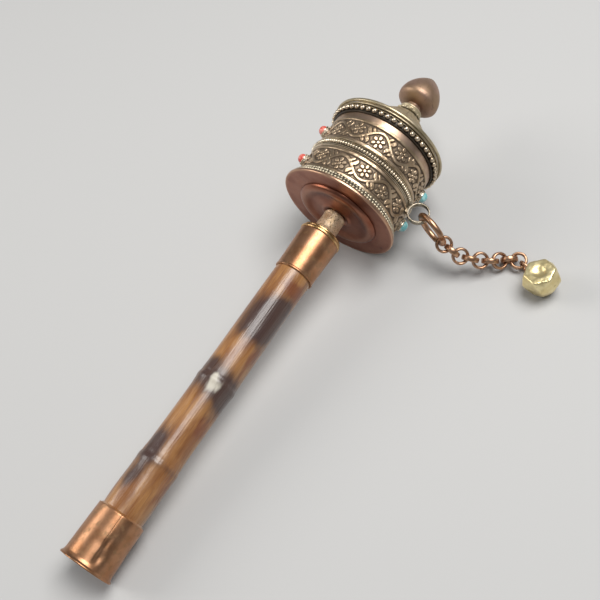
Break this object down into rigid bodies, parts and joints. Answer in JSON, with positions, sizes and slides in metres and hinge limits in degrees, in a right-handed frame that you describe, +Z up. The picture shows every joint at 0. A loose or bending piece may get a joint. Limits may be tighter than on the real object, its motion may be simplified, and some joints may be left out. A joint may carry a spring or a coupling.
{
  "type": "hand prayer wheel",
  "caption": "Hand prayer wheel: a beaded metal drum that spins on a rod above a bamboo grip, driven by a weight swinging on a short chain.",
  "frame": {"origin": "centre of the bounding box at floor level, under the wheel as it lies at rest on its handle end and drum rim", "axes": "+X from the handle end towards the finial along the floor, +Z up, +Y to the left; the chain and weight lie on the -Y side"},
  "size_m": [0.225, 0.1054, 0.0508],
  "materials": {
    "bamboo": "lacquered bamboo",
    "plug_wood": "plain softwood",
    "copper": "polished copper",
    "red_copper": "browned copper",
    "ring_brass": "polished golden brass",
    "neck_brass": "rough pale brass",
    "bush_brass": "machined brass",
    "granulation": "dull grey-green white metal",
    "band_brass": "antiqued embossed brass",
    "seat_brass": "plain pinkish-tan brass",
    "white_metal": "silver-coloured white metal",
    "cap_bronze": "dark bronze",
    "rim_brass": "worn yellow brass",
    "steel": "bright steel rod",
    "paper": "rolled plain paper",
    "coral": "polished coral-coloured stone",
    "turquoise": "polished turquoise-coloured stone",
    "chain_copper": "copper wire",
    "eyelet_metal": "soldered brass strip",
    "weight_brass": "cast pale brass"
  },
  "bodies": {
    "handle": {"bamboo_grip": "bamboo", "foot_plug": "plug_wood", "top_plug": "plug_wood", "foot_ferrule": "copper", "foot_cap": "red_copper", "upper_ferrule": "copper", "ferrule_cap_disc": "ring_brass", "ferrule_top_disc": "ring_brass", "neck_base_washer": "granulation", "neck_collar": "neck_brass", "thrust_washer": "neck_brass", "axle_rod": "steel", "finial": "cap_bronze"},
    "drum": {"bottom_plate": "red_copper", "plate_boss": "red_copper", "lower_bush": "bush_brass", "upper_bush": "bush_brass", "core_tube": "bush_brass", "prayer_scroll": "paper", "drum_shell": "red_copper", "bead_border": "granulation", "lower_band": "band_brass", "lower_belt_wire": "white_metal", "belt_beads": "white_metal", "upper_belt_wire": "white_metal", "upper_band": "band_brass", "cap_seat_band": "seat_brass", "cap_skirt": "cap_bronze", "cap_beads": "rim_brass", "cap_rim_wire": "rim_brass", "cap_cone": "cap_bronze", "cap_collar": "rim_brass", "upper_coral": "coral", "upper_coral_cup": "white_metal", "lower_coral": "coral", "lower_coral_cup": "white_metal", "upper_turquoise": "turquoise", "upper_turquoise_cup": "white_metal", "lower_turquoise": "turquoise", "lower_turquoise_cup": "white_metal", "eyelet_foot": "eyelet_metal", "chain_eyelet": "eyelet_metal"},
    "link_1": {"link_1": "chain_copper"},
    "link_2": {"link_2": "chain_copper"},
    "link_3": {"link_3": "chain_copper"},
    "link_4": {"link_4": "chain_copper"},
    "link_5": {"link_5": "chain_copper"},
    "link_6": {"link_6": "chain_copper"},
    "link_7": {"link_7": "chain_copper"},
    "link_8": {"link_8": "chain_copper"},
    "link_9": {"link_9": "chain_copper"},
    "link_10": {"link_10": "chain_copper"},
    "weight": {"weight_eye": "chain_copper", "chain_weight": "weight_brass"}
  },
  "joints": [
    {"name": "drum_spin", "type": "hinge", "parent": "handle", "child": "drum", "pos_m": [0.05273, 0.02884, 0.0248], "axis": [0.9959, 0, 0.09], "continuous": true},
    {"name": "link_1_swing", "type": "hinge", "parent": "drum", "child": "link_1", "pos_m": [0.05524, -0.00132, 0.02184], "axis": [0.9552, -0.2908, 0.0556], "range_deg": [-95, 35]},
    {"name": "link_2_swing", "type": "hinge", "parent": "link_1", "child": "link_2", "pos_m": [0.05333, -0.00893, 0.01474], "axis": [-0.3658, -0.5845, 0.7242], "range_deg": [-75, 45]},
    {"name": "link_3_swing", "type": "hinge", "parent": "link_2", "child": "link_3", "pos_m": [0.0538, -0.0119, 0.01258], "axis": [-0.8686, 0.2565, -0.4239], "range_deg": [-35, 35]},
    {"name": "link_4_swing", "type": "hinge", "parent": "link_3", "child": "link_4", "pos_m": [0.05404, -0.01502, 0.01019], "axis": [0.4608, 0.5628, -0.6862], "range_deg": [-36, 84]},
    {"name": "link_5_swing", "type": "hinge", "parent": "link_4", "child": "link_5", "pos_m": [0.05568, -0.01824, 0.00865], "axis": [0.7581, 0.076, 0.6477], "range_deg": [-60, 60]},
    {"name": "link_6_swing", "type": "hinge", "parent": "link_5", "child": "link_6", "pos_m": [0.05732, -0.02146, 0.00711], "axis": [-0.3908, -0.5515, 0.737], "range_deg": [-70, 50]},
    {"name": "link_7_swing", "type": "hinge", "parent": "link_6", "child": "link_7", "pos_m": [0.05961, -0.02449, 0.00605], "axis": [-0.7141, -0.265, -0.648], "range_deg": [-50, 70]},
    {"name": "link_8_swing", "type": "hinge", "parent": "link_7", "child": "link_8", "pos_m": [0.06209, -0.02703, 0.00435], "axis": [0.2236, 0.6495, -0.7268], "range_deg": [-51, 69]},
    {"name": "link_9_swing", "type": "hinge", "parent": "link_8", "child": "link_9", "pos_m": [0.06505, -0.02935, 0.00318], "axis": [0.6572, 0.4927, 0.5705], "range_deg": [-22, 98]},
    {"name": "link_10_swing", "type": "hinge", "parent": "link_9", "child": "link_10", "pos_m": [0.06685, -0.03274, 0.00403], "axis": [-0.4883, -0.0405, 0.8717], "range_deg": [-8, 112]},
    {"name": "weight_swing", "type": "hinge", "parent": "link_10", "child": "weight", "pos_m": [0.06566, -0.03639, 0.0032], "axis": [-0.8846, 0.3574, -0.2995], "range_deg": [-79, 41]}
  ]
}
